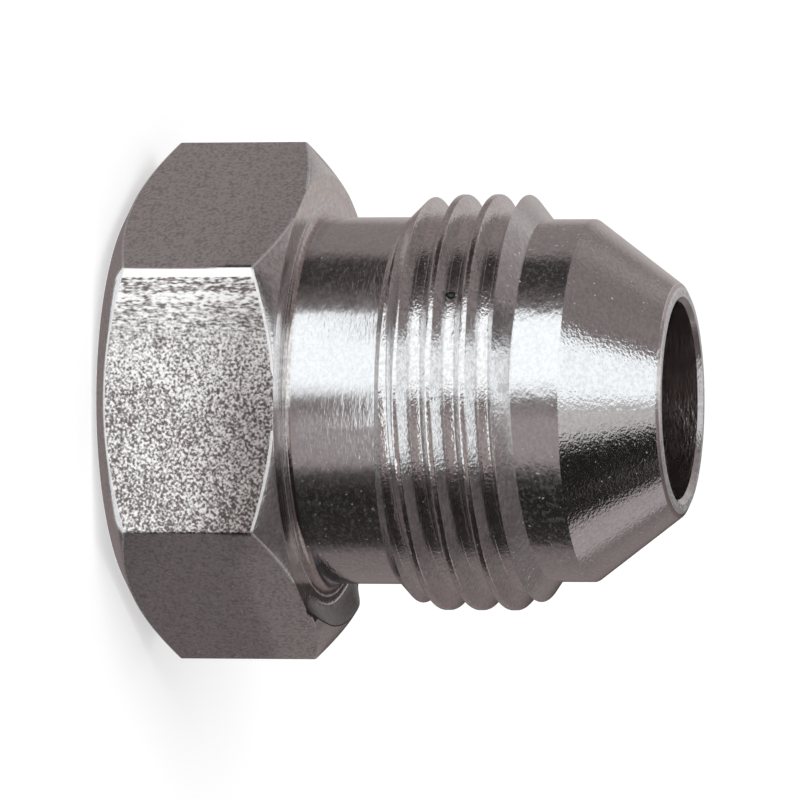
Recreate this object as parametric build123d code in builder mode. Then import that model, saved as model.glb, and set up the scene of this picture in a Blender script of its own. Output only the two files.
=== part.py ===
from build123d import *
import math
import os

os.makedirs("parts", exist_ok=True)

# Driving dimensions of a male flare plug for 5/8 inch tube, in millimetres and degrees.
# The axis is +Z, from the head's back face at the origin to the nose rim.
across_flats = 24.0
head_length = 9.9
back_face_radius = 10.75
front_face_radius = 12.2
head_bevel_angle = 30.0

shank_length = 19.3
neck_radius = 9.77
neck_fillet = 0.4
land_radius = 9.62

threads_per_inch = 14
thread_angle = 60.0
thread_major_radius = 11.05
thread_start = 4.45
thread_end = 12.6
start_bevel_angle = 45.0
end_bevel_angle = 37.0
first_groove = 2.07

flare_angle = 37.0
rim_radius = 6.24
rim_bevel = 0.19

bore_radius = 5.25
bore_depth = 17.5
bore_mouth_bevel = 0.25
drill_point_angle = 118.0


def slope(angle):
    return math.tan(math.radians(angle))


# The hex head's corners, and the cones that turn them off.
corner_radius = across_flats / 2 / math.cos(math.radians(30))
bevel_reach = corner_radius + 1
back_bevel_depth = (bevel_reach - back_face_radius) * slope(head_bevel_angle)
front_bevel_depth = (bevel_reach - front_face_radius) * slope(head_bevel_angle)

# The thread form: a flat of an eighth of the pitch on the crest and a sixth at the root.
pitch = 25.4 / threads_per_inch
root_flat = pitch / 6
flank_width = (pitch - pitch / 8 - root_flat) / 2
thread_minor_radius = thread_major_radius - flank_width / slope(thread_angle / 2)
cutter_clearance = 0.04 * pitch
groove_top_radius = thread_major_radius + cutter_clearance
groove_top_width = root_flat + 2 * flank_width + 2 * cutter_clearance * slope(thread_angle / 2)
groove_turns = math.ceil((thread_end - first_groove) / pitch)

# Stations along the axis.
start_bevel_length = (thread_major_radius - neck_radius) / slope(start_bevel_angle)
end_bevel_length = (thread_major_radius - land_radius) / slope(end_bevel_angle)
thread_full_start = head_length + thread_start + start_bevel_length
thread_full_end = head_length + thread_end - end_bevel_length
overall_length = head_length + shank_length
rim_corner = overall_length - rim_bevel
flare_start = rim_corner - (land_radius - rim_radius) / slope(flare_angle)
bore_floor = overall_length - bore_depth
drill_tip = bore_floor - bore_radius / slope(drill_point_angle / 2)

# One turn of the right-hand thread groove, centred on Z = 0 where it crosses +X.
with BuildPart() as groove_turn:
    with BuildLine() as groove_path:
        Helix(pitch=pitch, height=pitch, radius=thread_minor_radius)
    with BuildSketch(Plane.XZ):
        with BuildLine():
            Polyline(
                (thread_minor_radius, -root_flat / 2),
                (groove_top_radius, -groove_top_width / 2),
                (groove_top_radius, groove_top_width / 2),
                (thread_minor_radius, root_flat / 2),
                close=True,
            )
        make_face()
    sweep(path=groove_path.wire(), is_frenet=True)

with BuildPart() as plug_body:
    # Hex head with two opposite flats square to Y, its corners turned off at both ends.
    with BuildSketch():
        RegularPolygon(radius=across_flats / 2, side_count=6, major_radius=False)
    extrude(amount=head_length)
    with BuildSketch(Plane.XZ):
        with BuildLine():
            Polyline(
                (0, 0),
                (back_face_radius, 0),
                (bevel_reach, back_bevel_depth),
                (bevel_reach, head_length - front_bevel_depth),
                (front_face_radius, head_length),
                (0, head_length),
                close=True,
            )
        make_face()
    revolve(axis=Axis.Z, mode=Mode.INTERSECT)

    # Turned shank: neck, thread blank with bevelled ends, plain land, flare cone and rim.
    with BuildSketch(Plane.XZ):
        with BuildLine():
            Polyline(
                (0, head_length / 2),
                (neck_radius, head_length / 2),
                (neck_radius, head_length + thread_start),
                (thread_major_radius, thread_full_start),
                (thread_major_radius, thread_full_end),
                (land_radius, head_length + thread_end),
                (land_radius, flare_start),
                (rim_radius, rim_corner),
                (rim_radius - rim_bevel, overall_length),
                (0, overall_length),
                close=True,
            )
        make_face()
    revolve(axis=Axis.Z)

    # Small radius where the neck meets the head's front face.
    front_edges = edges().filter_by(GeomType.CIRCLE).filter_by_position(Axis.Z, head_length, head_length)
    fillet(front_edges.sort_by(SortBy.RADIUS)[0], radius=neck_fillet)

    # The thread, cut turn by turn from over the neck to past the bevel on the land.
    with Locations([(0, 0, head_length + first_groove + turn * pitch) for turn in range(groove_turns)]):
        add(groove_turn.part, mode=Mode.SUBTRACT)

    # Blind drilled bore with a drill point, and a broken edge at its mouth.
    with BuildSketch(Plane.XZ):
        with BuildLine():
            Polyline(
                (0, overall_length),
                (bore_radius + bore_mouth_bevel, overall_length),
                (bore_radius, overall_length - bore_mouth_bevel),
                (bore_radius, bore_floor),
                (0, drill_tip),
                close=True,
            )
        make_face()
    revolve(axis=Axis.Z, mode=Mode.SUBTRACT)

plug_body.part.label = "plug_body"
export_step(plug_body.part, "parts/plug_body.step")
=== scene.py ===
import math

import bpy
from mathutils import Matrix, Vector


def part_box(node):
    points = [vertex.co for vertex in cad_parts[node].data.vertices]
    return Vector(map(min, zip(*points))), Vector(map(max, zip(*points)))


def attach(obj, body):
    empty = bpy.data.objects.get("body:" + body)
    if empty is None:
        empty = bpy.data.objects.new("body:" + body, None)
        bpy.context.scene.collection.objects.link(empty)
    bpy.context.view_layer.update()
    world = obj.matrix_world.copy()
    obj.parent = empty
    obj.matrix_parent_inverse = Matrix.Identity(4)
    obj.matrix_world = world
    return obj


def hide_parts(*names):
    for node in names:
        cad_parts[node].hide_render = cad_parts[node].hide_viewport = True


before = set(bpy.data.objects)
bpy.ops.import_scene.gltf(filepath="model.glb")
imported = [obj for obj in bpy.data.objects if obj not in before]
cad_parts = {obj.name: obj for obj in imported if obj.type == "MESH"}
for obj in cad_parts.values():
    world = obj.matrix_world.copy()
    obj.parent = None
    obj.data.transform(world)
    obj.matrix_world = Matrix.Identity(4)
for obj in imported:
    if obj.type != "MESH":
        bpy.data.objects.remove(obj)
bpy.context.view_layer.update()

# Lengths in the numbers below are millimetres. The plug's axis is +Z, and its hex head stands on the floor.
MM = 0.001

plug_low, plug_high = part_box("plug_body")
across_flats = (plug_high.y - plug_low.y) / MM
overall_length = (plug_high.z - plug_low.z) / MM

head_length = 9.9
hex_edge_radius = 0.14
back_face_radius = 10.75
front_face_radius = 12.02
back_bevel = 30
front_bevel = 33

neck_radius = 9.77
neck_fillet = 0.5
land_radius = 9.62

pitch = 25.4 / 14
crest_radius = 11.05
root_radius = 10.07
root_half_width = 0.285
flank_angle = 25
crest_rounding = 0.11
root_rounding = 0.12
first_groove = head_length + 2.13
groove_turns = 6
start_bevel = 45
end_bevel = 53
thread_start = head_length + 4.85
thread_end = head_length + 12.08

flare_angle = 37
rim_radius = 6.24
rim_rounding = 0.19
bore_radius = 5.25
bore_depth = 17.5
bore_mouth = 0.25
drill_point = 118

broken_edge = 0.09

# Rings that the tool left on the head's front face, painted in as a highlight ring and a shade ring, by their
# inner and outer radius.
highlight_ring = (10.36, 10.48)
shade_ring = (11.22, 11.38)

# Where the ring of painted shade on the rim's bevel starts and ends, from the bevel's outer edge.
rim_shade_ring = (0.07, 0.24)

# The thread is a little off the axis towards +X, and each end by its own distance and to its own side.
# There the start lies lower by the drop, and the end lies higher by the rise.
thread_offset = 0.09
start_offset = 0.42
start_side = -135
start_drop = 0.59
end_offset = 0.4
end_side = -111
end_rise = 0.42

# One corner of the head stands up by this much, from this height.
lip_rise = 0.6
lip_foot = 8.3

SEGMENTS = 240


def slope(angle):
    return math.tan(math.radians(angle))


def rounded(before, corner, after, radius, steps=5):
    """Points that round a corner of an outline."""
    corner = Vector(corner)
    to_before = (Vector(before) - corner).normalized()
    to_after = (Vector(after) - corner).normalized()
    half = to_before.angle(to_after) / 2
    middle = corner + (to_before + to_after).normalized() * radius / math.sin(half)
    start = corner + to_before * radius / math.tan(half) - middle
    turn = start.angle_signed(corner + to_after * radius / math.tan(half) - middle)
    points = []
    for step in range(steps + 1):
        angle = -turn * step / steps
        points.append((
            middle.x + start.x * math.cos(angle) - start.y * math.sin(angle),
            middle.y + start.x * math.sin(angle) + start.y * math.cos(angle),
        ))
    return points


def smooth_outline(points):
    """The outline's points of (radius, height), where a corner with a third number is rounded by it."""
    made = []
    for place, (radius, height, *rounding) in enumerate(points):
        if rounding:
            made += rounded(points[place - 1][:2], (radius, height), points[place + 1][:2], rounding[0])
        else:
            made.append((radius, height))
    return made


def alone(obj):
    """Leaves obj as the only selected object."""
    bpy.ops.object.select_all(action="DESELECT")
    obj.select_set(True)
    bpy.context.view_layer.objects.active = obj


def added(name):
    """Names what an operator has just added, and settles its place in its mesh."""
    obj = bpy.context.object
    obj.name = name
    obj.data.name = name
    alone(obj)
    bpy.ops.object.transform_apply(location=True, rotation=True, scale=True)
    return obj


def turned(name, outline, centre=(0, 0)):
    """A solid turned about an upright axis from its (radius, height) outline, closed flat or at a point."""
    bpy.ops.object.select_all(action="DESELECT")
    radius, height = outline[0]
    x, y = centre
    bpy.ops.mesh.primitive_circle_add(vertices=SEGMENTS, radius=radius * MM, fill_type="NGON",
                                      location=(x * MM, y * MM, height * MM))
    solid = added(name)
    bpy.ops.object.mode_set(mode="EDIT")
    bpy.ops.mesh.select_mode(type="EDGE")
    bpy.ops.mesh.select_all(action="SELECT")
    for next_radius, next_height in outline[1:]:
        bpy.ops.mesh.extrude_edges_move(
            TRANSFORM_OT_translate={"value": (0, 0, (next_height - height) * MM)})
        grow = next_radius / radius if next_radius else 0
        bpy.ops.transform.resize(value=(grow, grow, 1), center_override=(x * MM, y * MM, next_height * MM))
        radius, height = next_radius, next_height
    if radius:
        bpy.ops.mesh.edge_face_add()
    else:
        bpy.ops.mesh.merge(type="CENTER")
    bpy.ops.mesh.select_all(action="SELECT")
    bpy.ops.mesh.normals_make_consistent(inside=False)
    bpy.ops.object.mode_set(mode="OBJECT")
    return solid


def finish_modifier(obj, name, kind, **settings):
    """Adds a modifier and applies it."""
    alone(obj)
    modifier = obj.modifiers.new(name, kind)
    for setting, value in settings.items():
        setattr(modifier, setting, value)
    bpy.ops.object.modifier_apply(modifier=modifier.name)


def combine(solid, tool, operation="DIFFERENCE"):
    """Cuts, bounds or joins a solid by another, which is used up."""
    finish_modifier(solid, "combine", "BOOLEAN", operation=operation, solver="EXACT", object=tool)
    bpy.data.objects.remove(tool, do_unlink=True)


def pick_edges(obj, test):
    """Opens obj in edit mode with the edges selected for which test(middle, ends, angle) holds."""
    alone(obj)
    mesh = obj.data
    faces_of = {}
    for face in mesh.polygons:
        for key in face.edge_keys:
            faces_of.setdefault(key, []).append(face)
    chosen = []
    for edge in mesh.edges:
        a, b = (mesh.vertices[i].co / MM for i in edge.vertices)
        faces = faces_of.get(edge.key, [])
        angle = math.degrees(faces[0].normal.angle(faces[1].normal, 0)) if len(faces) == 2 else 180
        if test((a + b) / 2, (a, b), angle):
            chosen.append(edge.index)
    bpy.ops.object.mode_set(mode="EDIT")
    bpy.ops.mesh.select_mode(type="EDGE")
    bpy.ops.mesh.select_all(action="DESELECT")
    bpy.ops.object.mode_set(mode="OBJECT")
    for index in chosen:
        mesh.edges[index].select = True
    bpy.ops.object.mode_set(mode="EDIT")


def clean(obj, distance):
    """Merges the points that a cut leaves on top of each other."""
    alone(obj)
    bpy.ops.object.mode_set(mode="EDIT")
    bpy.ops.mesh.select_all(action="SELECT")
    bpy.ops.mesh.remove_doubles(threshold=distance * MM)
    bpy.ops.mesh.delete_loose()
    bpy.ops.object.mode_set(mode="OBJECT")


def push(obj, direction, distance, weight):
    """Moves each point of obj along an axis by distance times weight(point)."""
    group = obj.vertex_groups.new(name="push")
    for vertex in obj.data.vertices:
        share = weight(vertex.co / MM)
        if share > 0:
            group.add([vertex.index], min(share, 1), "REPLACE")
    finish_modifier(obj, "push", "DISPLACE", direction=direction, strength=distance * MM, mid_level=0,
                    vertex_group=group.name)
    obj.vertex_groups.clear()


def groove_outline():
    """Half of the groove's outline as (radius, distance from its middle), from root to above the crest."""
    edge = root_half_width + (crest_radius - root_radius) * slope(flank_angle)
    points = [(root_radius, 0), (root_radius, root_half_width), (crest_radius, edge),
              (crest_radius, edge + 1)]
    root = rounded(points[0], points[1], points[2], root_rounding, 3)
    crest = rounded(points[1], points[2], points[3], crest_rounding, 5)[:-1]
    before, last = crest[-2:]
    above = 0.015
    out = (crest_radius + above - last[0]) / (last[0] - before[0])
    crest.append((crest_radius + above, last[1] + (last[1] - before[1]) * out))
    crest.append((crest_radius + 0.4, crest[-1][1]))
    return root + crest


def thread_groove():
    """The helical cutter for the thread, its outline drawn out by the screw modifier."""
    half = groove_outline()
    loop = [(r, -d) for r, d in reversed(half)] + half
    start = first_groove + pitch
    bpy.ops.object.select_all(action="DESELECT")
    bpy.ops.mesh.primitive_circle_add(vertices=len(loop), radius=MM, fill_type="NGON")
    cutter = added("groove_cutter")
    for vertex, (radius, height) in zip(cutter.data.vertices, loop):
        vertex.co = Vector((radius, 0, start + height)) * MM
    finish_modifier(cutter, "helix", "SCREW", axis="Z", angle=math.tau, screw_offset=pitch * MM,
                    steps=SEGMENTS, render_steps=SEGMENTS, iterations=groove_turns, use_merge_vertices=False)
    alone(cutter)
    bpy.ops.object.mode_set(mode="EDIT")
    bpy.ops.mesh.select_all(action="SELECT")
    bpy.ops.mesh.fill_holes(sides=0)
    bpy.ops.mesh.select_all(action="SELECT")
    bpy.ops.mesh.normals_make_consistent(inside=False)
    bpy.ops.object.mode_set(mode="OBJECT")
    return cutter


def toward(angle, distance):
    """A point at that distance from the axis. Angles are degrees from the front, -Y, towards -X."""
    return (-math.sin(math.radians(angle)) * distance, -math.cos(math.radians(angle)) * distance)


def angle_of(point):
    """Degrees round the axis from the front, -Y, towards -X."""
    return math.degrees(math.atan2(-point.x, -point.y))


def smooth_step(value, start, end):
    """0 up to start and 1 from end, with a smooth rise between them."""
    share = min(max((value - start) / (end - start), 0), 1)
    return share * share * (3 - 2 * share)


def corner_lip(point):
    """How much of its rise the raised corner has at a point, from 0 to 1."""
    if point.z < lip_foot:
        return 0
    angle = -angle_of(point)
    radius = math.hypot(point.x, point.y)
    return (smooth_step(angle, 62, 82) * (1 - smooth_step(angle, 112, 126))
            * smooth_step(radius, 10.9, 12.1) * (0.8 + 0.2 * smooth_step(angle, 84, 108)))


def collar(name, outline, centre):
    """A ring for the outside of the plug. Its hole ends inside the wall, so that the bore stays open."""
    ring = turned(name, outline, centre)
    inner = (bore_radius + neck_radius) / 2
    combine(ring, turned("collar_hole", [(inner, outline[0][1] - 1), (inner, outline[-1][1] + 1)]))
    return ring


def meeting_radius(surface_radius, offset, side):
    """A collar's own radius where it meets a surface of the plug on the side of +X."""
    return surface_radius - offset * math.cos(math.radians(side + 90))


# The bar is turned to the plug's outline, with the head left larger than the hex.
blank_radius = 15.0
flare_start = overall_length - rim_rounding - (land_radius - rim_radius) / slope(flare_angle)
front_corner = head_length - (blank_radius - front_face_radius) * slope(front_bevel)
outline = smooth_outline([
    (back_face_radius - 2, 0),
    (back_face_radius, 0, 0.12),
    (blank_radius, (blank_radius - back_face_radius) * slope(back_bevel)),
    (blank_radius, front_corner),
    (front_face_radius, head_length, 0.15),
    (11.7, head_length),
    (shade_ring[1], head_length),
    (shade_ring[0], head_length),
    (10.9, head_length),
    (10.6, head_length),
    (highlight_ring[1], head_length),
    (highlight_ring[0], head_length),
    (neck_radius, head_length, neck_fillet),
    (neck_radius, thread_start, 0.1),
    (crest_radius, thread_start + (crest_radius - neck_radius) / slope(start_bevel), 0.12),
    (crest_radius, thread_end - (crest_radius - land_radius) / slope(end_bevel), 0.12),
    (land_radius, thread_end, 0.15),
    (land_radius, flare_start, 0.12),
    (rim_radius, overall_length - rim_rounding),
    *[(rim_radius - across, overall_length - rim_rounding + across / 2) for across in rim_shade_ring],
    (rim_radius - 2 * rim_rounding, overall_length),
    (bore_radius + bore_mouth, overall_length),
    (bore_radius, overall_length - bore_mouth),
    (bore_radius, overall_length - bore_depth),
    (0, overall_length - bore_depth - bore_radius / slope(drill_point / 2)),
])
plug = turned("hydraulic_plug", outline)

# The thread's blank ran off centre, so on the side of +X it starts nearer to the head and ends nearer to the
# nose. A collar at each end adds what stands out there, and its edge is sunk into the plug's surface.
sunk = 0.3
low_start = thread_start - start_drop
start_meeting = meeting_radius(neck_radius, start_offset, start_side)
start_crest = crest_radius - start_offset
combine(plug, collar("start_collar", [
    (start_meeting - sunk, low_start - sunk),
    (start_crest, low_start + start_crest - start_meeting),
    (start_crest, low_start + 2.4),
], toward(start_side, start_offset)), "UNION")
high_end = thread_end + end_rise
end_meeting = meeting_radius(land_radius, end_offset, end_side)
end_crest = crest_radius - end_offset
combine(plug, collar("end_collar", [
    (end_crest, high_end - 3),
    (end_crest, high_end - (end_crest - end_meeting) / slope(end_bevel)),
    (end_meeting - sunk, high_end + sunk / slope(end_bevel)),
], toward(end_side, end_offset)), "UNION")

# The hexagonal bar, its long edges a little rounded by drawing.
bpy.ops.object.select_all(action="DESELECT")
bpy.ops.mesh.primitive_cylinder_add(vertices=6, radius=across_flats / 2 / math.cos(math.pi / 6) * MM,
                                    depth=80 * MM, location=(0, 0, 20 * MM), rotation=(0, 0, math.pi / 6))
hex_bar = added("hex_bar")

# Drawing rolled the front flat down a little along its upper edge, and left steps along it.
corner_x = -across_flats / 2 * slope(30)
rolled_width = 0.47
steps = [(0.62, 0.03), (0.74, 0.022), (0.95, 0.024), (1.04, 0.014), (1.2, 0.014), (1.36, 0.0)]
bpy.ops.object.mode_set(mode="EDIT")
for across, _ in [(rolled_width, 0), *steps]:
    bpy.ops.mesh.select_all(action="SELECT")
    bpy.ops.mesh.bisect(plane_co=((corner_x + across) * MM, 0, 0), plane_no=(1, 0, 0))
bpy.ops.object.mode_set(mode="OBJECT")
for across, drop in [(0, 0.075), (rolled_width, 0.03), *steps]:
    pick_edges(hex_bar, lambda middle, ends, angle: middle.y < -11
               and abs(middle.x - corner_x - across) < 0.02 and abs(ends[0].z - ends[1].z) > 1)
    sideways = 0 if across else -drop * slope(30)
    bpy.ops.transform.translate(value=(sideways * MM, drop * MM, 0))
    bpy.ops.object.mode_set(mode="OBJECT")
pick_edges(hex_bar, lambda middle, ends, angle: abs(ends[0].z - ends[1].z) > 1 and angle > 30)
bpy.ops.mesh.bevel(offset=hex_edge_radius * MM, offset_type="OFFSET", segments=3)
bpy.ops.object.mode_set(mode="OBJECT")
combine(plug, hex_bar, "INTERSECT")
clean(plug, 0.002)

# Every turned edge of the hex head is broken. Two stand-in materials keep those faces apart until the
# finishes come.
pick_edges(plug, lambda middle, ends, angle: middle.z < head_length - 0.05 and angle > 12
           and math.hypot(middle.x, middle.y) > 11 and abs(ends[0].z - ends[1].z) < 1)
bpy.ops.mesh.bevel(offset=broken_edge * MM, offset_type="OFFSET", segments=2, clamp_overlap=False,
                   loop_slide=True)
bpy.ops.object.mode_set(mode="OBJECT")
marks = [bpy.data.materials.new(name) for name in ("whole_face", "broken_edge")]
for mark in marks:
    plug.data.materials.append(mark)
for face in plug.data.polygons:
    face.material_index = 1 if face.select else 0
clean(plug, 0.002)

# One corner of the head stands up where the tool left it.
push(plug, "Z", lip_rise, corner_lip)

combine(plug, thread_groove())
clean(plug, 0.004)

# Small pits, each by its middle's height, angle and distance from the axis, and then its own radius.
PITS = [(Vector((*toward(angle, radius), height)), size) for height, angle, radius, size in [
    (18.57, 33.2, 10.14, 0.25), (18.2, 1, 11.02, 0.12), (17.65, 8, 11.03, 0.1)]]
for place, size in PITS:
    bpy.ops.object.select_all(action="DESELECT")
    bpy.ops.mesh.primitive_ico_sphere_add(subdivisions=3, radius=size * MM, location=place * MM)
    combine(plug, added("pit"))
clean(plug, 0.002)

# The thread sits a little off the plug's axis.
push(plug, "X", thread_offset, lambda point: 0 if not thread_start - 1 < point.z < thread_end + 1 else
     (math.hypot(point.x, point.y) - neck_radius) / (crest_radius - neck_radius))

alone(plug)
bpy.ops.object.shade_smooth_by_angle(angle=math.radians(25))


# Finishes

class Signal:
    """A node's output. Arithmetic on it adds the Math nodes."""

    def __init__(self, finish, socket):
        self.finish = finish
        self.socket = socket

    def math(self, operation, *others):
        return self.finish.node("ShaderNodeMath", {"operation": operation}, [self, *others])

    def __add__(self, other):
        return self.math("ADD", other)

    def __sub__(self, other):
        return self.math("SUBTRACT", other)

    def __mul__(self, other):
        return self.math("MULTIPLY", other)

    def __truediv__(self, other):
        return self.math("DIVIDE", other)

    def __rsub__(self, other):
        return self.finish.node("ShaderNodeMath", {"operation": "SUBTRACT"}, [other, self])

    def __rtruediv__(self, other):
        return self.finish.node("ShaderNodeMath", {"operation": "DIVIDE"}, [other, self])

    __radd__ = __add__


class Finish:
    """A material that is being made."""

    def __init__(self, name):
        self.material = bpy.data.materials.new(name)
        self.material.use_nodes = True
        self.tree = self.material.node_tree
        self.tree.nodes.clear()

    def node(self, kind, settings=None, sockets=(), output=0):
        """Adds a node with its settings and its sockets, by place or by name. A list names outputs."""
        made = self.tree.nodes.new(kind)
        for name, value in (settings or {}).items():
            if name == "stops":
                stops = made.color_ramp.elements
                while len(stops) < len(value):
                    stops.new(0.5)
                for stop, (position, colour) in zip(stops, value):
                    stop.position = position
                    stop.color = colour if hasattr(colour, "__len__") else (colour, colour, colour, 1)
            else:
                setattr(made, name, value)
        pairs = sockets.items() if hasattr(sockets, "items") else enumerate(sockets)
        for place, value in pairs:
            socket = made.inputs[place]
            if isinstance(value, Signal):
                self.tree.links.new(value.socket, socket)
            else:
                socket.default_value = value
        if isinstance(output, list):
            return [Signal(self, made.outputs[name]) for name in output]
        return Signal(self, made.outputs[output]) if made.outputs else None

    def place(self):
        """The point on the object, in the object's own frame."""
        return self.node("ShaderNodeTexCoord", None, (), "Object")

    def noise(self, scale, detail=2.0, roughness=0.5, turn=(0, 0, 0)):
        """A cloudy pattern with that many marks to the millimetre along x, y and z."""
        where = self.node("ShaderNodeMapping", None, {
            "Vector": self.place(), "Scale": [s / MM for s in scale], "Rotation": turn})
        return self.node("ShaderNodeTexNoise", {"noise_dimensions": "3D"}, {
            "Vector": where, "Scale": 1.0, "Detail": detail, "Roughness": roughness})

    def fade(self, value, start, end):
        """0 up to start and 1 from end, with a smooth rise between them."""
        return self.node("ShaderNodeMapRange", {"interpolation_type": "SMOOTHSTEP"},
                         {"Value": value, "From Min": start, "From Max": end})

    def mixed(self, share, first, second):
        """A colour between two colours."""
        return self.node("ShaderNodeMix", {"data_type": "RGBA"}, {0: share, 6: first, 7: second}, 2)

    def end(self, surface):
        self.node("ShaderNodeOutputMaterial", None, {"Surface": surface})
        return self.material


BRIGHT_ZINC = (0.885, 0.915, 0.94, 1)
USUAL_SHADE = 0.94
BLACK = (0, 0, 0, 1)


def plated(name, scale, depth, roughness, shade=USUAL_SHADE, mottle=0.1, waves=None, detail=2.0, specks=0.0,
           haze=0.0, metal=1.0, colour=BRIGHT_ZINC):
    """Bright zinc over cut steel. The grain has its scale for x, y and z, in marks to the millimetre."""
    finish = Finish(name)
    height = finish.noise(scale, detail, 0.6)
    if waves:
        height = height + finish.noise(waves[0], 1.0) * waves[1]
    bump = finish.node("ShaderNodeBump", None, {"Strength": 1.0, "Distance": depth * MM, "Height": height})
    blotch = finish.noise((1.3, 1.3, 1.9), 2.0)
    dull = finish.fade(finish.noise((4.5, 4.5, 5.5), 2.0, 0.6), 0.36, 0.64)
    level = shade * (1 + mottle * 0.5) - dull * shade * mottle + (blotch - 0.5) * shade * mottle
    worn = roughness + (blotch - 0.5) * roughness * 0.8
    tint = finish.mixed(level, BLACK, colour)
    sockets = {"Base Color": tint, "Metallic": metal, "Roughness": worn, "Normal": bump}
    if specks or haze:
        bloom = finish.fade(finish.noise((3.6, 3.6, 4.8), 2.0, 0.6), 0.46, 0.68)
        spots = finish.fade(finish.noise((4.6, 4.6, 4.6), 1.0), 0.72, 0.79)
        sockets["Metallic"] = metal - bloom * haze - spots * specks
    return finish.end(finish.node("ShaderNodeBsdfPrincipled", None, sockets))


def drawn_flats():
    """Zinc on the drawn front and back flats: a net of ridges painted bright as glints, with hollows between
    painted dark as shade.
    """
    finish = Finish("zinc_on_drawn_flats_painted_glints_and_shade")
    x = finish.node("ShaderNodeSeparateXYZ", None, [finish.place()])
    across = x / MM - corner_x
    net = finish.noise((6.9, 6.9, 6.9), 1.5, 0.45, (0.5, 0.7, 0.4))
    strokes = finish.noise((8.2, 8.2, 2.8), 1.0, 0.5, (0.5, 0.0, 0.0))
    height = net + (strokes - net) * (1 - finish.fade(across, 1.0, 5.5))
    # Light and dark streaks by the upper edge, at listed distances from the corner: draw marks painted in as
    # highlight and shade lines.
    painted_streaks = finish.node("ShaderNodeValToRGB", {"stops": [
        (0.22, 1.0), (0.3, 0.0), (0.36, 0.6), (0.41, 0.1), (0.47, 0.6), (0.52, -0.2), (0.6, 0.1), (0.68, 1.2),
        (0.84, 0.95), (0.94, 0.5)]}, [(across + (finish.noise((1.2, 1.2, 0.6), 1.0) - 0.5) * 0.35) * 0.5])
    patches = finish.noise((0.7, 0.7, 0.7), 1.0)
    # The colour follows the bump's height, so the hollows get painted shade and the ridges a painted glint, a
    # little darker away from the upper edge.
    ridge = height + (painted_streaks - 0.5) * 0.17 + (patches - 0.5) * 0.15 - across * 0.004
    painted_glint_share = finish.fade(ridge, 0.3, 0.66)
    colour = finish.mixed(painted_glint_share, (0.17, 0.143, 0.143, 1), (0.99, 0.985, 0.985, 1))
    bump = finish.node("ShaderNodeBump", None, {"Strength": 1.0, "Distance": 0.012 * MM, "Height": height})
    return finish.end(finish.node("ShaderNodeBsdfPrincipled", None, {
        "Base Color": colour, "Metallic": 1.0, "Roughness": 0.3, "Normal": bump}))


# A white for worn and burnished edges, partly painted highlight.
WORN_AND_HIGHLIGHT_WHITE = (0.97, 0.97, 0.97, 1)
FINISHES = [
    drawn_flats(),
    plated("zinc_on_side_flats", (5, 5, 5), 0.006, 0.16, mottle=0.45, specks=0.25, haze=0.03),
    plated("zinc_on_turned_head", (5, 5, 5), 0.008, 0.15, mottle=0.28, haze=0.03),
    plated("zinc_on_turned_neck", (2, 2, 7), 0.009, 0.15, waves=((1.4, 1.4, 2.4), 1.0), specks=0.35,
           haze=0.04),
    plated("zinc_on_thread", (6, 6, 8), 0.017, 0.12, mottle=0.25, specks=0.4, haze=0.02, detail=1.0,
           colour=(0.905, 0.915, 0.925, 1)),
    plated("zinc_on_turned_land", (4.5, 4.5, 7), 0.012, 0.15, waves=((1.6, 1.6, 2.4), 1.3), specks=0.4,
           haze=0.06),
    plated("zinc_on_flare_cone", (5.4, 5.4, 6.4), 0.016, 0.11, mottle=0.16, specks=0.35, haze=0.01,
           detail=1.5),
    # The bore's zinc is darker and warmer than the rest: painted shade in the recess.
    plated("zinc_in_bore_painted_shade", (2.5, 2.5, 7), 0.02, 0.2, shade=0.77, colour=(0.93, 0.86, 0.855, 1)),
    plated("zinc_on_sawn_back", (4, 4, 4), 0.02, 0.2),
    # The front flat's rims are whitened and half matt: partly wear, partly painted highlight.
    plated("zinc_on_worn_rims_painted_highlight", (6, 6, 6), 0.02, 0.3, metal=0.45, colour=WORN_AND_HIGHLIGHT_WHITE),
    plated("zinc_on_broken_edges", (6, 6, 6), 0.02, 0.3, metal=0.85, mottle=0.3),
    # The raised lip's zinc is nearly black: painted shade.
    plated("painted_shade_on_raised_lip", (3, 3, 3), 0.02, 0.3, shade=0.1, mottle=0.5),
    # The rolled edge's strip is white and smooth: burnished by drawing, with a painted highlight.
    plated("zinc_on_rolled_edge_painted_highlight", (6, 6, 2), 0.004, 0.15, shade=1.0, mottle=0.0, colour=WORN_AND_HIGHLIGHT_WHITE),
    # The pits are nearly black: painted shade in the hollows.
    plated("painted_shade_in_pits", (6, 6, 6), 0.02, 0.4, shade=0.1),
    # The turned front face has a darker, warmer copy of the head's zinc: painted shade.
    plated("zinc_on_turned_front_painted_shade", (5, 5, 5), 0.008, 0.15, shade=0.78, mottle=0.28,
           colour=(0.93, 0.9, 0.895, 1)),
]
(DRAWN, SIDE, HEAD, NECK, THREAD, LAND, CONE, SHADED_BORE,
 BACK, RIM_HIGHLIGHT, EDGE, LIP_SHADE, ROLLED_HIGHLIGHT, PIT_SHADE, SHADED_FRONT) = range(len(FINISHES))

# The shade rings are painted shade with the bore's darker finish, and the highlight ring a painted highlight
# with the broken edges' finish.
SHADE_RING, HIGHLIGHT_RING = SHADED_BORE, EDGE


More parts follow.
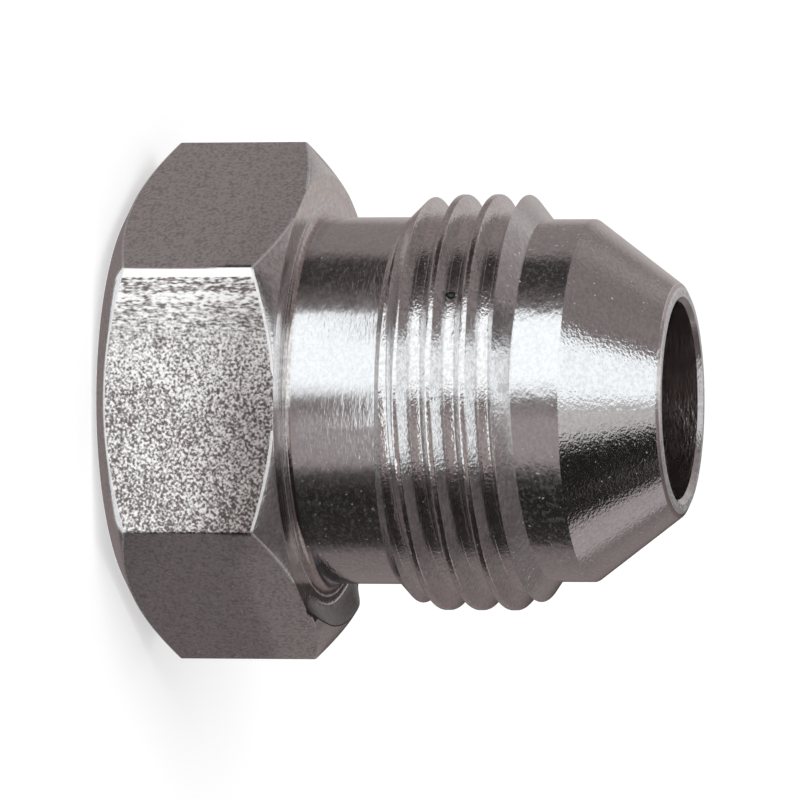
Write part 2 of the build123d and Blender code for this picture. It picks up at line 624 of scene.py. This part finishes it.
def finish_of(face):
    """The finish of a face, from where it is and how it lies."""
    middle = face.center / MM
    radius = math.hypot(middle.x, middle.y)
    if middle.z < 0.01:
        return BACK
    for place, size in PITS:
        inward = place - middle
        if inward.length < size + 0.12 and inward.normalized().dot(face.normal) > 0.8:
            return PIT_SHADE
    if middle.z < head_length + 0.7 and radius > neck_radius + 0.02:
        if abs(face.normal.z) < 0.02:
            if abs(face.normal.y) < 0.7:
                return SIDE
            return ROLLED_HIGHLIGHT if middle.y < 0 and middle.x < corner_x + rolled_width else DRAWN
        # The raised corner's inner slopes get painted shade.
        if middle.z > head_length - 0.6 and corner_lip(middle) > 0.01:
            return LIP_SHADE if radius < 12.15 else HEAD
        # Broken edges; those along the front flat get the whitened rim finish, partly painted highlight.
        if face.material_index == 1:
            return RIM_HIGHLIGHT if middle.y < -11 and abs(middle.x) < 6.8 else EDGE
        if middle.z < head_length - 0.05:
            return HEAD
        if highlight_ring[0] < radius < highlight_ring[1]:
            return HIGHLIGHT_RING
        return SHADE_RING if shade_ring[0] < radius < shade_ring[1] else SHADED_FRONT
    if middle.z < thread_start - 0.45:
        return NECK
    if middle.z < thread_end + 0.6 and radius > land_radius + 0.02:
        return LAND if middle.z > thread_end - 1.3 and 0.72 < face.normal.z < 0.86 else THREAD
    if radius < bore_radius + 0.02 and middle.z < overall_length - 0.1:
        return SHADED_BORE
    if middle.z > overall_length - 0.17 and radius > bore_radius + bore_mouth and face.normal.z > 0.6:
        return SHADE_RING if rim_shade_ring[0] < rim_radius - radius < rim_shade_ring[1] else EDGE
    return LAND if middle.z < flare_start else CONE


chosen = [finish_of(face) for face in plug.data.polygons]
plug.data.materials.clear()
for mark in marks:
    bpy.data.materials.remove(mark)
for material in FINISHES:
    plug.data.materials.append(material)
for face, finish in zip(plug.data.polygons, chosen):
    face.material_index = finish
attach(plug, "root")
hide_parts("plug_body")


# Studio

CAMERA_TILT = 13.34


def seen_ray(finish):
    """1 for a ray from the camera, or one that a gloss or a clear material sends."""
    camera, glossy, clear = finish.node("ShaderNodeLightPath", None, (), [
        "Is Camera Ray", "Is Glossy Ray", "Is Transmission Ray"])
    return camera.math("MAXIMUM", glossy).math("MAXIMUM", clear)


def floor_finish():
    finish = Finish("pale_floor")
    matt = finish.node("ShaderNodeBsdfDiffuse", None, {"Color": (0.6, 0.6, 0.6, 1)})
    glow = finish.node("ShaderNodeEmission", None, {
        "Color": (1, 1, 1, 1), "Strength": seen_ray(finish) * 0.5})
    return finish.end(finish.node("ShaderNodeAddShader", None, [matt, glow]))


bpy.ops.object.select_all(action="DESELECT")
bpy.ops.mesh.primitive_plane_add(size=4.0, location=(0, 0, 0))
floor = added("floor")
floor.data.materials.append(floor_finish())


class Air(Finish):
    """The nodes of a world."""

    def __init__(self, world):
        self.tree = world.node_tree
        self.tree.nodes.clear()


world = bpy.data.worlds.new("studio")
bpy.context.scene.world = world
world.use_nodes = True
air = Air(world)
sky = air.node("ShaderNodeBackground", None, {"Color": (1, 1, 1, 1), "Strength": 0.75 + seen_ray(air) * 0.3})
air.node("ShaderNodeOutputWorld", None, {"Surface": sky})

# Grey cards stand round the plug and lie on the floor, as in a photographer's studio, but they glow and only
# gloss
# sees them: painted reflections that give the bright metal something darker to show. The white floor and
# backdrop show in it through the gaps between them.
CARDS_RADIUS = 350
CARDS_MIDDLE = 12
GAP = None


def glow_colour(level):
    """The glow colour of a card that shows in the zinc at that level, a painted reflection. The darker cards
    are a little warmer.
    """
    if level is GAP:
        return (1, 1, 1, 0)
    warmth = min(0.84 + 0.45 * max(level - 0.19, 0), 1)
    red, green, blue, _ = (USUAL_SHADE * part for part in BRIGHT_ZINC)
    return (level / red, level * warmth / green, level * warmth / blue, 1)


# Rows of cards, each card by its angle and its level, from the back over +X, the front and -X. The floor has
# one row by the head and shares the next with the lowest of the standing cards, which have two more above it.
FLOOR_BY_HEAD = [(-180, 0.12), (-75, 0.11), (-36, 0.085), (-33, GAP), (33, GAP), (36, 0.2)]
ROUND_CARDS = [(-180, 0.03), (-174, 0.05), (-167, 0.16), (-155, 0.19), (-112, 0.15), (-100, 0.025),
               (-60, 0.014), (-46, 0.05), (-39.5, 0.25), (-12, 0.27), (-6, 0.17), (1, 0.15), (11, GAP),
               (54, GAP), (58, 0.14), (72, 0.06), (80, 0.03), (98, 0.035), (107, 0.185), (146, 0.2),
               (154, 0.31), (166, 0.4), (180, 0.42)]
MIDDLE_CARDS = [(-180, 0.14), (-132, 0.14), (-128, 0.31), (-102, 0.29), (-98, 0.012), (-42, 0.012),
                (-36, 0.2), (-4, 0.25), (2, GAP), (55, GAP), (59, 0.17), (112, 0.175), (128, 0.25),
                (140, 0.28), (144, 0.39)]
HIGH_CARDS = [(-180, 0.14), (-104, 0.1), (-98, 0.012), (-40, 0.012), (-36, 0.42), (-2, 0.45), (2, GAP),
              (55, GAP), (59, 0.17), (112, 0.175), (128, 0.25), (140, 0.28), (144, 0.39)]


def glow_cards_finish(name, lying):
    """The glowing cards, lying on the floor or standing round the plug, seen only as painted reflections."""
    finish = Finish(name)
    sides = finish.node("ShaderNodeSeparateXYZ", None, [finish.place()], ["X", "Y", "Z"])
    x, y, z = (side / MM for side in sides)
    reach = (x * x + y * y).math("SQRT")
    bearing = (0 - x).math("ARCTAN2", 0 - y)

    # The angle along which a mirror on the neck sees this place. It is a little further from the front than
    # the place's bearing.
    angle = bearing
    for _ in range(2):
        angle = bearing + neck_radius / reach * (angle * 0.5).math("SINE")

    def panels(row, angle):
        """The colour and the cover of a row of cards."""
        return finish.node("ShaderNodeValToRGB", {
            "stops": [((degrees + 180) / 360, glow_colour(level)) for degrees, level in row]},
            [angle * (0.5 / math.pi) + 0.5], ["Color", "Alpha"])

    def either(share, first, second):
        """A colour and cover between two."""
        return [finish.mixed(share, first[0], second[0]), first[1] + (second[1] - first[1]) * share]

    look = panels(ROUND_CARDS, angle)
    if lying:
        # How far up the neck this place shows. What would show below the neck is the floor by the head.
        shown = (reach - (angle * 0.5).math("COSINE") * neck_radius) * slope(CAMERA_TILT)
        on_neck = finish.fade(shown, head_length + 0.05, head_length + 0.4)
        look = either(on_neck, panels(FLOOR_BY_HEAD, bearing), look)
        # Within 12 mm of the axis, under the head, the lying cards are grey: a painted contact shadow, as the
        # metal sees the floor there.
        outside_contact_shadow = finish.fade(reach, 11.9, 12.1)
        look = [finish.mixed(outside_contact_shadow, glow_colour(0.19), look[0]), 1 - outside_contact_shadow + look[1] * outside_contact_shadow]
    else:
        # Heights and sides are parts of the cards' radius.
        height = (z - CARDS_MIDDLE) / CARDS_RADIUS
        across = x / CARDS_RADIUS
        deep = y / CARDS_RADIUS
        look = either(finish.fade(height, 0.28, 0.44), look, panels(MIDDLE_CARDS, angle))
        look = either(finish.fade(height, 0.65, 0.71), look, panels(HIGH_CARDS, angle))

        # The top and back are one grey card with a slanted gap, darker towards +X and in a strip towards -X.
        edge = -0.185 - (0.2 - deep).math("MAXIMUM", 0) * 0.5
        open_top = finish.fade(across - edge, -0.02, 0.02) * (1 - finish.fade(across, -0.04, 0.02))
        low_side = finish.fade(across, 0.14, 0.34)
        strip_sides = finish.fade(0 - across, 0.25, 0.29) * finish.fade(across, -0.48, -0.42)
        strip = strip_sides * finish.fade(0 - deep, -0.26, -0.2)
        top = finish.mixed(low_side.math("MAXIMUM", strip), glow_colour(0.2), glow_colour(0.085))
        share = finish.fade(height, 0.68, 0.8) * finish.fade(deep, -0.2, -0.05)
        look = [finish.mixed(share, look[0], top), look[1] + (1 - open_top - look[1]) * share]

        # A lighter card lies across, high up and a little to the front.
        light_sides = finish.fade(deep, -0.34, -0.28) * finish.fade(0 - deep, 0.01, 0.05)
        light = finish.fade(height, 0.87, 0.9) * light_sides
        look = either(light, look, [glow_colour(0.5), 1.0])
    clear = finish.node("ShaderNodeBsdfTransparent", None, {"Color": (1, 1, 1, 1)})
    glow = finish.node("ShaderNodeEmission", None, {"Color": look[0], "Strength": 1.0})
    return finish.end(finish.node("ShaderNodeMixShader", None, [look[1], clear, glow]))


bpy.ops.object.select_all(action="DESELECT")
bpy.ops.mesh.primitive_uv_sphere_add(segments=96, ring_count=48, radius=CARDS_RADIUS * MM,
                                     location=(0, 0, CARDS_MIDDLE * MM))
standing_glow_cards = added("standing_glow_cards")
bpy.ops.object.mode_set(mode="EDIT")
bpy.ops.mesh.select_all(action="SELECT")
bpy.ops.mesh.bisect(plane_co=(0, 0, 0), plane_no=(0, 0, 1), clear_inner=True)
bpy.ops.object.mode_set(mode="OBJECT")
standing_glow_cards.data.materials.append(glow_cards_finish("standing_glow_cards", False))

bpy.ops.object.select_all(action="DESELECT")
bpy.ops.mesh.primitive_circle_add(vertices=96, radius=CARDS_RADIUS * MM, fill_type="NGON",
                                  location=(0, 0, 0.03 * MM))
lying_glow_cards = added("lying_glow_cards")
lying_glow_cards.data.materials.append(glow_cards_finish("lying_glow_cards", True))

# Only gloss sees the glowing cards, so they show only as painted reflections in the metal.
for shade in (standing_glow_cards, lying_glow_cards):
    shade.visible_camera = False
    shade.visible_diffuse = False
    shade.visible_shadow = False
    shade.visible_transmission = False
    shade.visible_volume_scatter = False

lamp_data = bpy.data.lights.new("soft_lamp", "AREA")
lamp_data.shape = "DISK"
lamp_data.size = 0.5
lamp_data.energy = 2.0
lamp = bpy.data.objects.new("soft_lamp", lamp_data)
bpy.context.scene.collection.objects.link(lamp)
lamp.location = (-0.3, -0.4, 0.6)
lamp.rotation_euler = (Vector((0, 0, 0.01)) - Vector(lamp.location)).to_track_quat("-Z", "Y").to_euler()
lamp.visible_glossy = False


# Camera

# The picture's width and the camera's distance are pixels of the photograph, and its scale is pixels to the
# millimetre. The place on the axis at AIM_HEIGHT millimetres lies AIM_RIGHT pixels right of the picture's
# middle, and CAMERA_RISE millimetres below it.
PICTURE_WIDTH = 800
SCALE = 18.794
DISTANCE = 9000
AIM_HEIGHT = 15.963
AIM_RIGHT = 38.82
CAMERA_RISE = 0.03
SENSOR = 36

tilt = math.radians(CAMERA_TILT)
right = Vector((0, math.sin(tilt), math.cos(tilt)))
up = Vector((-1, 0, 0))
back = Vector((0, -math.cos(tilt), math.sin(tilt)))
camera_data = bpy.data.cameras.new("camera")
camera_data.sensor_width = SENSOR
camera_data.lens = DISTANCE / PICTURE_WIDTH * SENSOR
camera = bpy.data.objects.new("camera", camera_data)
bpy.context.scene.collection.objects.link(camera)
aim = Vector((0, 0, AIM_HEIGHT)) - right * (AIM_RIGHT / SCALE) + up * CAMERA_RISE
spot = aim + back * (DISTANCE / SCALE)
camera.matrix_world = Matrix((
    (right.x, up.x, back.x, spot.x * MM),
    (right.y, up.y, back.y, spot.y * MM),
    (right.z, up.z, back.z, spot.z * MM),
    (0, 0, 0, 1),
))
camera_data.clip_start = 0.01
camera_data.clip_end = 10
bpy.context.scene.camera = camera
bpy.context.scene.view_settings.view_transform = "Standard"
